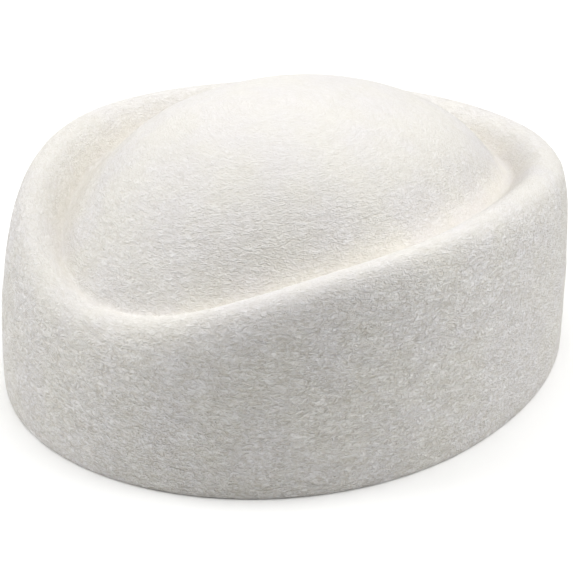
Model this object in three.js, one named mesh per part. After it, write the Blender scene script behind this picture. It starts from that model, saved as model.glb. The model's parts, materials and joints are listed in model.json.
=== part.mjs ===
// A pillbox hat, blocked in one piece from thick wool felt: an oval wall that folds over at the top,
// a trough inside the fold, and a domed crown that rises out of the trough.
// Millimetres, +Z up. The hat stands on its lower edge at Z = 0, the wearer's face is on the -Y side,
// and the origin is below the middle of the hat's overall length and width.
import * as THREE from "three";

// The felt and its cut lower edge
const FELT_THICKNESS = 2.5;
const EDGE_ROUND = 0.7; // taken off both corners of the lower edge

// The oval of the lower edge, measured to the outside of the felt from the middle of the dome
const FRONT_REACH = 92.5;
const BACK_REACH = 109;
const HALF_WIDTH = 86;

// The wall, and the fold at its top
const FOLD_HEIGHT = 70; // from the lower edge to the fold's crest, where that is highest, over the ears
const WALL_LEAN = 14; // from the lower edge in to the fold's crest, at the front
const SHOULDER = 10; // breadth of the round shoulder between the wall and the crest

// The trough between the fold and the dome
const TROUGH_DEPTH = 9; // below the fold's crest, where the trough is deepest
const TROUGH_REACH = 13; // from the fold's crest in to the bottom of the trough

// The dome
const DOME_HEIGHT = 90.5; // its top, above the lower edge
const DOME_FOOT = 8.5; // how far in from the trough the dome's foot leans
const DOME_STEP = 7; // how high the dome's foot climbs out of the trough before it eases into the dome

// How full the curves are, as shares of their own length
const WALL_STRAIGHT = 0.62; // the part of the wall's height below its turn
const FOLD_FULLNESS = 0.54; // at the fold's crest
const TROUGH_FULLNESS = 0.2; // at the bottom of the trough
const DOME_FULLNESS = 0.72; // at the dome's top

// Sections of one side of the hat, from the front to the back at equal bearings. The other side mirrors it.
// crest: height of the fold, as a share of FOLD_HEIGHT
// lean: how far in the crest stands, as a share of WALL_LEAN
// round: breadth of the shoulder outside the crest, as a share of SHOULDER
// depth: of the trough below the crest, as a share of TROUGH_DEPTH
// reach: from the crest in to the trough, as a share of TROUGH_REACH
// step: climb of the dome's foot, as a share of DOME_STEP
// full: how far out the dome keeps its height, as a share of DOME_FULLNESS
const SECTIONS = [
  { place: "front", crest: 0.66, lean: 1.0, round: 0.83, depth: 0.12, reach: 0.39, step: 1.1, full: 0.79 },
  { place: "temple", crest: 0.89, lean: 0.85, round: 0.98, depth: 0.93, reach: 0.9, step: 1.05, full: 0.94 },
  { place: "ear", crest: 1.0, lean: 0.77, round: 0.92, depth: 1.05, reach: 0.98, step: 1.05, full: 0.95 },
  { place: "rear", crest: 0.93, lean: 0.78, round: 1.2, depth: 0.95, reach: 0.95, step: 1.1, full: 1.1 },
  { place: "back", crest: 0.83, lean: 0.3, round: 1.3, depth: 0.92, reach: 1.0, step: 1.65, full: 1.0 },
];

// Facets
const BEARINGS = 64; // round the hat
const WALL_STEPS = 13;
const FOLD_STEPS = 9;
const DOME_STEPS = 13;

// A smooth value for any bearing from one column of the table: the cosine series through its rows.
function roundTheHat(column) {
  const last = SECTIONS.length - 1;
  const weight = (row) => (row === 0 || row === last ? 0.5 : 1);
  const waves = SECTIONS.map((_, wave) =>
    SECTIONS.reduce(
      (sum, section, row) => sum + weight(row) * section[column] * Math.cos((Math.PI * wave * row) / last),
      0,
    ),
  );
  const scaled = waves.map((height, wave) => (2 * weight(wave) * height) / last);
  return (bearing) => scaled.reduce((sum, height, wave) => sum + height * Math.cos(wave * bearing), 0);
}

const crestShare = roundTheHat("crest");
const leanShare = roundTheHat("lean");
const roundShare = roundTheHat("round");
const depthShare = roundTheHat("depth");
const reachShare = roundTheHat("reach");
const stepShare = roundTheHat("step");
const fullShare = roundTheHat("full");

// From the dome's axis to the lower edge: half an oval in front and a longer half behind.
function edgeReach(bearing) {
  const reach = Math.cos(bearing) > 0 ? FRONT_REACH : BACK_REACH;
  return 1 / Math.hypot(Math.cos(bearing) / reach, Math.sin(bearing) / HALF_WIDTH);
}

// The outside of the felt at one bearing, as curves in distance from the dome's axis and height: up the wall
// to the crest, down the fold to the trough, and up the dome to its top.
function sectionCurves(bearing) {
  const edge = edgeReach(bearing);
  const crest = new THREE.Vector2(edge - WALL_LEAN * leanShare(bearing), FOLD_HEIGHT * crestShare(bearing));
  const troughReach = TROUGH_REACH * reachShare(bearing);
  const trough = new THREE.Vector2(crest.x - troughReach, crest.y - TROUGH_DEPTH * depthShare(bearing));
  const wall = new THREE.CubicBezierCurve(
    new THREE.Vector2(edge, EDGE_ROUND),
    new THREE.Vector2(edge, WALL_STRAIGHT * crest.y),
    new THREE.Vector2(crest.x + SHOULDER * roundShare(bearing), crest.y),
    crest,
  );
  const fold = new THREE.CubicBezierCurve(
    crest,
    new THREE.Vector2(crest.x - FOLD_FULLNESS * troughReach, crest.y),
    new THREE.Vector2(trough.x + TROUGH_FULLNESS * troughReach, trough.y),
    trough,
  );
  const dome = new THREE.CubicBezierCurve(
    trough,
    new THREE.Vector2(trough.x - DOME_FOOT, trough.y + DOME_STEP * stepShare(bearing)),
    new THREE.Vector2(DOME_FULLNESS * fullShare(bearing) * trough.x, DOME_HEIGHT),
    new THREE.Vector2(0, DOME_HEIGHT),
  );
  return [
    { curve: wall, steps: WALL_STEPS },
    { curve: fold, steps: FOLD_STEPS },
    { curve: dome, steps: DOME_STEPS },
  ];
}

// The points of one section, on the outside of the felt and one thickness inside it, from the lower edge
// upwards. The top of the dome isn't among them, because all sections share it.
function sectionPoints(bearing) {
  const outside = [];
  const inside = [];
  sectionCurves(bearing).forEach(({ curve, steps }) => {
    for (let step = 0; step < steps; step++) {
      const point = curve.getPoint(step / steps);
      const along = curve.getTangent(step / steps);
      outside.push(point);
      inside.push(new THREE.Vector2(point.x - FELT_THICKNESS * along.y, point.y + FELT_THICKNESS * along.x));
    }
  });
  return { outside, inside };
}

// Rings of points round the hat, from the flat of the lower edge up the outside, and down the inside again.
function feltRings() {
  const sections = Array.from({ length: BEARINGS }, (_, i) => {
    const bearing = (2 * Math.PI * i) / BEARINGS;
    const edge = edgeReach(bearing);
    const { outside, inside } = sectionPoints(bearing);
    const flat = [
      new THREE.Vector2(edge - FELT_THICKNESS + EDGE_ROUND, 0),
      new THREE.Vector2(edge - EDGE_ROUND, 0),
    ];
    const place = ({ x, y }) => new THREE.Vector3(x * Math.sin(bearing), -x * Math.cos(bearing), y);
    return { outside: [...flat, ...outside].map(place), inside: inside.reverse().map(place) };
  });
  const levels = (side) => sections[0][side].map((_, level) => sections.map((each) => each[side][level]));
  return { outside: levels("outside"), inside: levels("inside") };
}

// One closed skin through the rings, with the two tops of the dome as its poles.
function feltSkin() {
  const { outside, inside } = feltRings();
  const rings = [...outside, ...inside];
  const points = rings.flat();
  const outerTop = points.push(new THREE.Vector3(0, 0, DOME_HEIGHT)) - 1;
  const innerTop = points.push(new THREE.Vector3(0, 0, DOME_HEIGHT - FELT_THICKNESS)) - 1;
  const faces = [];
  const corner = (ring, i) => (ring % rings.length) * BEARINGS + (i % BEARINGS);
  for (let i = 0; i < BEARINGS; i++) {
    for (let ring = 0; ring < rings.length; ring++) {
      if (ring === outside.length - 1) {
        faces.push(corner(ring, i), corner(ring, i + 1), outerTop);
        faces.push(innerTop, corner(ring + 1, i + 1), corner(ring + 1, i));
      } else {
        faces.push(corner(ring, i), corner(ring, i + 1), corner(ring + 1, i + 1));
        faces.push(corner(ring, i), corner(ring + 1, i + 1), corner(ring + 1, i));
      }
    }
  }
  const skin = new THREE.BufferGeometry().setFromPoints(points).setIndex(faces);
  skin.computeVertexNormals();
  return skin;
}

function feltBody() {
  const whiteFelt = new THREE.MeshStandardMaterial({ color: "#eeebe5", roughness: 0.95, metalness: 0 });
  const body = new THREE.Mesh(feltSkin(), whiteFelt);
  body.name = "felt_body";
  return body;
}

const hat = new THREE.Group();
hat.add(feltBody());

// The dome's axis stands a little in front of the middle of the hat, which is where the origin belongs.
const extent = new THREE.Box3().setFromObject(hat);
hat.position.y = -(extent.min.y + extent.max.y) / 2;

export default hat;
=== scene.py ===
# A pillbox hat blocked in one piece from thick ivory wool felt, on a pale floor in soft studio light.
import json
import math

import bpy
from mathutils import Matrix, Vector

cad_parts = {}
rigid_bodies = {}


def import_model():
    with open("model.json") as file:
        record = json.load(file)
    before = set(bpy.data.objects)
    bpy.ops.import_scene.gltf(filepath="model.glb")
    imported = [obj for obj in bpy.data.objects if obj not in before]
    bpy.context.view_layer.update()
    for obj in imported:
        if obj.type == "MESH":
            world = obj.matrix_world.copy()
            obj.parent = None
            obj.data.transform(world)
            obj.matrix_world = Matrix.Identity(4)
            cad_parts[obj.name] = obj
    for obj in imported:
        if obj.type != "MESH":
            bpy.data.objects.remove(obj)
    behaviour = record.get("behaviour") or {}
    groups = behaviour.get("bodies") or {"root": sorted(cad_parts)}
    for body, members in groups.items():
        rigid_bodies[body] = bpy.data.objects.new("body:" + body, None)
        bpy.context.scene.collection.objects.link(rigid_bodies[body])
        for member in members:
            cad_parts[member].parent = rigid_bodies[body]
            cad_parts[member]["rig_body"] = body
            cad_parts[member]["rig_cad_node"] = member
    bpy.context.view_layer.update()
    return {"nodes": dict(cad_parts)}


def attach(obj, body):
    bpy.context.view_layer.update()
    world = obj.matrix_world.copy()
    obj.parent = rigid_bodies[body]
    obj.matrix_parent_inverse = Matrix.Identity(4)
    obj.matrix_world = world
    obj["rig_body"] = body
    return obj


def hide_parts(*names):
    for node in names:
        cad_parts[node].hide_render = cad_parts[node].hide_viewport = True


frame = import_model()

MM = 0.001

# Where the dome's axis stands, in front of the hat's middle
DOME_AXIS_Y = -9.7 * MM

# The blocked felt
WELD_DISTANCE = 0.001 * MM  # within which the solid's loose corners are joined
FELT_SUBDIVISIONS = 2
FELT_SOFTENING = 80  # passes of smoothing, which round the crease of the trough
SOFT_ABOVE = 30.0 * MM  # height from which the felt is smoothed
UNEVEN_BREADTH = 7.0 * MM  # of the slight unevenness that blocking leaves
UNEVEN_DEPTH = 0.16 * MM

# The brushed nap
STROKE_BREADTH = 1.0 * MM  # of the brushed fibres, from one to the next
STROKE_LENGTH = 1.9 * MM
STROKE_CURL = 1.8
TUFT_BREADTH = 2.3 * MM  # of the tufts that the fibres gather in
TUFT_LENGTH = 5.5 * MM
TUFT_CURL = 1.2
TUFT_SHARE = 0.28  # how much of the nap is tufts, the rest being single strokes
NAP_HEIGHT = 1.85 * MM  # for the noise's whole range, of which the nap takes only the middle
NAP_MIDDLE = 0.5  # level of the noise that the nap goes to as it is laid flat

# Where the nap is laid flatter, which also thins the painted shade between its fibres: the share that goes
# in the end, and from where to where that share grows
NAP_STEAMED = 0.62  # by the steam, where the felt faces up
STEAMED_FROM = 0.1  # upward part of the felt's facing, which is 0 on an upright wall
STEAMED_TO = 1.0
NAP_SHELTERED = 0.4  # in the hollows, where no brush reaches
SHELTERED_FROM = 0.9  # openness, which is 1 where no other felt is near
SHELTERED_TO = 0.5
HOLLOW_REACH = 16.0 * MM  # how near other felt has to be to count
NAP_IRONED = 0.3  # by the iron, on the dome's top
IRONED_FROM = 60.0 * MM  # height above the floor
IRONED_TO = 92.0 * MM

# Colours of the wool: a low and a high level of what changes it, and the colour at each
NAP_AND_SHADE_COLOURS = (0.36, 0.6, "#dad5cc", "#faf9f8")  # painted shade down between the fibres, and the felt's own colour at their ends
CLOUD_COLOURS = (0.4, 0.6, "#fffefb", "#fefdfe")  # of the faint clouds that any wool has
CLOUD_BREADTH = 24.0 * MM
HOLLOW_BOUNCE_COLOURS = (0.4, 0.9, "#f8f6f2", "#f5f5f5")  # painted warm bounce light in a hollow, where felt warms the light, and the plain felt out of it

# The camera, at the photo's angle
CAMERA_AZIMUTH = 45.2  # degrees from the front towards the wearer's left
CAMERA_ELEVATION = 27.2
CAMERA_DISTANCE = 620 * MM  # from the point that it looks at
CAMERA_AIM_HEIGHT = 25.0 * MM
CAMERA_AIM_SIDE = 3.9 * MM  # to the right of the dome's axis
CAMERA_SENSOR = 36.0  # in millimetres, as is the lens
CAMERA_LENS = 118.0

# Soft boxes: azimuth from the camera's, elevation, distance and side in metres, power in watts
SOFT_BOXES = {
    "overhead_box": (-135, 80, 1.3, 1.3, 13.6),
    "right_box": (95, 40, 1.3, 1.0, 10.9),
    "left_box": (-95, 25, 1.3, 1.0, 10.6),
    "front_box": (45, 50, 1.4, 1.0, 3.0),
}
LIGHT_AIM_HEIGHT = 45 * MM

# The floor
FLOOR_RADIUS = 700 * MM
FLOOR_CORNERS = 128
FLOOR_GLOW = 0.035  # strength of the light table below it


def linear(channel):
    if channel <= 0.04045:
        return channel / 12.92
    return ((channel + 0.055) / 1.055) ** 2.4


def colour(sheet):
    """An sRGB hex colour as linear RGBA."""
    return tuple(linear(int(sheet[i:i + 2], 16) / 255) for i in (1, 3, 5)) + (1.0,)


def node(tree, kind, settings=None, links=None):
    """Adds a node with its settings, in their order, and links its inputs to the outputs given."""
    new = tree.nodes.new(kind)
    for name, value in (settings or {}).items():
        if hasattr(new, str(name)):
            setattr(new, name, value)
        else:
            new.inputs[name].default_value = value
    for name, source in (links or {}).items():
        tree.links.new(source, new.inputs[name])
    return new


def per_metre(size):
    """The noise scale that gives features of a size."""
    return 1.0 / size


def upward(tree, vector):
    return node(tree, "ShaderNodeSeparateXYZ", None, {"Vector": vector}).outputs["Z"]


def strokes(tree, place, radius, breadth, length, curl):
    """Noise drawn out round the hat, and narrow up and down and towards the dome's axis."""
    scale = (per_metre(length), per_metre(length), per_metre(breadth))
    lay = node(tree, "ShaderNodeMapping", {"Scale": scale}, {"Vector": place})
    inward = node(tree, "ShaderNodeMath", {"operation": "MULTIPLY", 1: per_metre(breadth)}, {0: radius})
    noise = node(
        tree, "ShaderNodeTexNoise",
        {"noise_dimensions": "4D", "Scale": 1.0, "Detail": 2.0, "Roughness": 0.6, "Distortion": curl},
        {"Vector": lay.outputs["Vector"], "W": inward.outputs["Value"]},
    )
    return noise.outputs["Fac"]


def flattened(tree, nap, source, low, high, share):
    """The nap laid flatter as the source goes from low to high, by a share of its height in the end."""
    span = {"interpolation_type": "SMOOTHSTEP", "From Min": low, "From Max": high, "To Max": share}
    laid = node(tree, "ShaderNodeMapRange", span, {"Value": source}).outputs["Result"]
    flat = {"data_type": "FLOAT", "B": NAP_MIDDLE}
    return node(tree, "ShaderNodeMix", flat, {"Factor": laid, "A": nap}).outputs["Result"]


def ramp(tree, source, low, high, low_colour, high_colour):
    """A colour that goes from one to the other as the source goes from low to high."""
    new = node(tree, "ShaderNodeValToRGB", None, {"Fac": source})
    new.color_ramp.elements[0].position = low
    new.color_ramp.elements[0].color = colour(low_colour)
    new.color_ramp.elements[1].position = high
    new.color_ramp.elements[1].color = colour(high_colour)
    return new.outputs["Color"]


def multiplied(tree, first, second):
    """Two colours multiplied."""
    multiply = {"data_type": "RGBA", "blend_type": "MULTIPLY", "Factor": 1.0}
    return node(tree, "ShaderNodeMix", multiply, {"A": first, "B": second}).outputs["Result"]


def brushed_nap(tree, place, facing, openness):
    """The level of the short curled nap, which lies roughly level round the hat; it raises the bumps and
    sets the painted shade between the fibres.
    """
    spot = {"Location": (0.0, -DOME_AXIS_Y, 0.0), "Scale": (1.0, 1.0, 0.0)}
    from_axis = node(tree, "ShaderNodeMapping", spot, {"Vector": place}).outputs["Vector"]
    radius = node(tree, "ShaderNodeVectorMath", {"operation": "LENGTH"}, {0: from_axis}).outputs["Value"]
    fine = strokes(tree, place, radius, STROKE_BREADTH, STROKE_LENGTH, STROKE_CURL)
    broad = strokes(tree, place, radius, TUFT_BREADTH, TUFT_LENGTH, TUFT_CURL)
    share = {"data_type": "FLOAT", "Factor": TUFT_SHARE}
    brushed = node(tree, "ShaderNodeMix", share, {"A": fine, "B": broad}).outputs["Result"]
    steamed = flattened(tree, brushed, facing, STEAMED_FROM, STEAMED_TO, NAP_STEAMED)
    sheltered = flattened(tree, steamed, openness, SHELTERED_FROM, SHELTERED_TO, NAP_SHELTERED)
    return flattened(tree, sheltered, upward(tree, place), IRONED_FROM, IRONED_TO, NAP_IRONED)


def wool_felt():
    """Thick wool felt, fulled, blocked on a hat block and brushed: no gloss at all, a nap with painted
    shade between its fibres, painted warm bounce light in the hollows, and a bloom of light on the fibre
    ends at grazing angles."""
    felt = bpy.data.materials.new("wool_felt_brushed_ivory")
    felt.use_nodes = True
    tree = felt.node_tree
    tree.nodes.clear()
    coordinates = node(tree, "ShaderNodeTexCoord")
    place = coordinates.outputs["Object"]
    facing = upward(tree, coordinates.outputs["Normal"])
    near = {"samples": 8, "only_local": True, "Distance": HOLLOW_REACH}
    openness = node(tree, "ShaderNodeAmbientOcclusion", near).outputs["AO"]
    nap = brushed_nap(tree, place, facing, openness)
    cloud = node(
        tree, "ShaderNodeTexNoise",
        {"Scale": per_metre(CLOUD_BREADTH), "Detail": 3.0, "Roughness": 0.6},
        {"Vector": place},
    )
    # Painted shade: the felt is coloured darker and warmer down between the fibres of the nap, where shade
    # would fall.
    wool = ramp(tree, nap, *NAP_AND_SHADE_COLOURS)
    clouded = multiplied(tree, wool, ramp(tree, cloud.outputs["Fac"], *CLOUD_COLOURS))
    # Painted light: the felt is coloured a little lighter and warmer in the hollows, as bounced light
    # between the folds.
    felt_and_painted_light = multiplied(tree, clouded, ramp(tree, openness, *HOLLOW_BOUNCE_COLOURS))
    raised = node(tree, "ShaderNodeBump", {"Strength": 1.0, "Distance": NAP_HEIGHT}, {"Height": nap})
    shader = node(
        tree, "ShaderNodeBsdfPrincipled",
        {
            "Roughness": 0.95,
            "IOR": 1.54,
            "Specular IOR Level": 0.15,
            "Sheen Weight": 0.25,
            "Sheen Roughness": 0.55,
            "Sheen Tint": colour("#ffffff"),
        },
        {"Base Color": felt_and_painted_light, "Normal": raised.outputs["Normal"]},
    )
    node(tree, "ShaderNodeOutputMaterial", None, {"Surface": shader.outputs["BSDF"]})
    return felt


def plain_floor():
    """Matt white acrylic on a light table, lit a little from below."""
    acrylic = bpy.data.materials.new("matt_white_acrylic")
    acrylic.use_nodes = True
    shader = acrylic.node_tree.nodes["Principled BSDF"]
    shader.inputs["Base Color"].default_value = colour("#fbfbfa")
    shader.inputs["Roughness"].default_value = 1.0
    shader.inputs["Specular IOR Level"].default_value = 0.0
    shader.inputs["Emission Color"].default_value = colour("#ffffff")
    shader.inputs["Emission Strength"].default_value = FLOOR_GLOW
    return acrylic


def pick_only(piece):
    bpy.ops.object.select_all(action="DESELECT")
    piece.select_set(True)
    bpy.context.view_layer.objects.active = piece


def apply_modifier(piece, kind, **settings):
    modifier = piece.modifiers.new(kind.lower(), kind)
    for name, value in settings.items():
        setattr(modifier, name, value)
    bpy.ops.object.modifier_apply(modifier=modifier.name)


def felt_hat():
    """The blocked felt, smoothed from the CAD solid and given the slight unevenness of real felt."""
    pick_only(frame["nodes"]["felt_body"])
    bpy.ops.object.duplicate()
    hat = bpy.context.object
    hat.name = "felt_hat"
    hat.data.name = "felt_hat"
    hat.parent = None
    # The copy is a new piece, so it gives up the marks of the CAD node.
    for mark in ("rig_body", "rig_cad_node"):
        del hat[mark]
    pick_only(hat)
    bpy.ops.object.mode_set(mode="EDIT")
    bpy.ops.mesh.select_all(action="SELECT")
    bpy.ops.mesh.remove_doubles(threshold=WELD_DISTANCE)
    bpy.ops.mesh.tris_convert_to_quads()
    bpy.ops.object.mode_set(mode="OBJECT")
    apply_modifier(hat, "SUBSURF", levels=FELT_SUBDIVISIONS, render_levels=FELT_SUBDIVISIONS)
    crown = hat.vertex_groups.new(name="crown")
    crown.add([corner.index for corner in hat.data.vertices if corner.co.z > SOFT_ABOVE], 1.0, "REPLACE")
    apply_modifier(hat, "SMOOTH", iterations=FELT_SOFTENING, vertex_group=crown.name)
    uneven = bpy.data.textures.new("felt_uneven", "CLOUDS")
    uneven.noise_scale = UNEVEN_BREADTH
    uneven.noise_depth = 1
    apply_modifier(hat, "DISPLACE", texture=uneven, texture_coords="LOCAL", strength=UNEVEN_DEPTH)
    bpy.ops.object.shade_smooth()
    hat.data.materials.clear()
    hat.data.materials.append(wool_felt())
    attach(hat, "root")
    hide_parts("felt_body")


def studio_floor():
    bpy.ops.object.select_all(action="DESELECT")
    bpy.ops.mesh.primitive_circle_add(vertices=FLOOR_CORNERS, radius=FLOOR_RADIUS, fill_type="NGON")
    floor = bpy.context.object
    floor.name = "studio_floor"
    floor.data.materials.append(plain_floor())


def bearing_point(azimuth, elevation, distance):
    """A point seen from the hat at an azimuth from the front, an elevation and a distance."""
    turn = math.radians(azimuth)
    rise = math.radians(elevation)
    level = distance * math.cos(rise)
    return Vector((level * math.sin(turn), -level * math.cos(turn), distance * math.sin(rise)))


def look_at(thing, target):
    thing.rotation_euler = (Vector(target) - thing.location).to_track_quat("-Z", "Y").to_euler()


def soft_box(name, azimuth, elevation, distance, size, power):
    lamp = bpy.data.lights.new(name, "AREA")
    lamp.shape = "SQUARE"
    lamp.size = size
    lamp.energy = power
    light = bpy.data.objects.new(name, lamp)
    bpy.context.scene.collection.objects.link(light)
    light.location = bearing_point(CAMERA_AZIMUTH + azimuth, elevation, distance)
    look_at(light, (0.0, 0.0, LIGHT_AIM_HEIGHT))


def studio_light():
    for name, box in SOFT_BOXES.items():
        soft_box(name, *box)
    world = bpy.data.worlds.new("white_studio")
    world.use_nodes = True
    background = world.node_tree.nodes["Background"]
    background.inputs["Color"].default_value = colour("#ffffff")
    # The studio is white past the floor, but only the soft boxes and the floor's glow light the hat.
    seen = node(world.node_tree, "ShaderNodeLightPath").outputs["Is Camera Ray"]
    world.node_tree.links.new(seen, background.inputs["Strength"])
    bpy.context.scene.world = world
    bpy.context.scene.view_settings.view_transform = "Standard"


def studio_camera():
    data = bpy.data.cameras.new("studio_camera")
    data.sensor_width = CAMERA_SENSOR
    data.lens = CAMERA_LENS
    camera = bpy.data.objects.new("studio_camera", data)
    bpy.context.scene.collection.objects.link(camera)
    turn = math.radians(CAMERA_AZIMUTH)
    side = CAMERA_AIM_SIDE
    aim = Vector((side * math.cos(turn), side * math.sin(turn) + DOME_AXIS_Y, CAMERA_AIM_HEIGHT))
    camera.location = aim + bearing_point(CAMERA_AZIMUTH, CAMERA_ELEVATION, CAMERA_DISTANCE)
    look_at(camera, aim)
    bpy.context.scene.camera = camera


studio_camera()
felt_hat()
studio_floor()
studio_light()
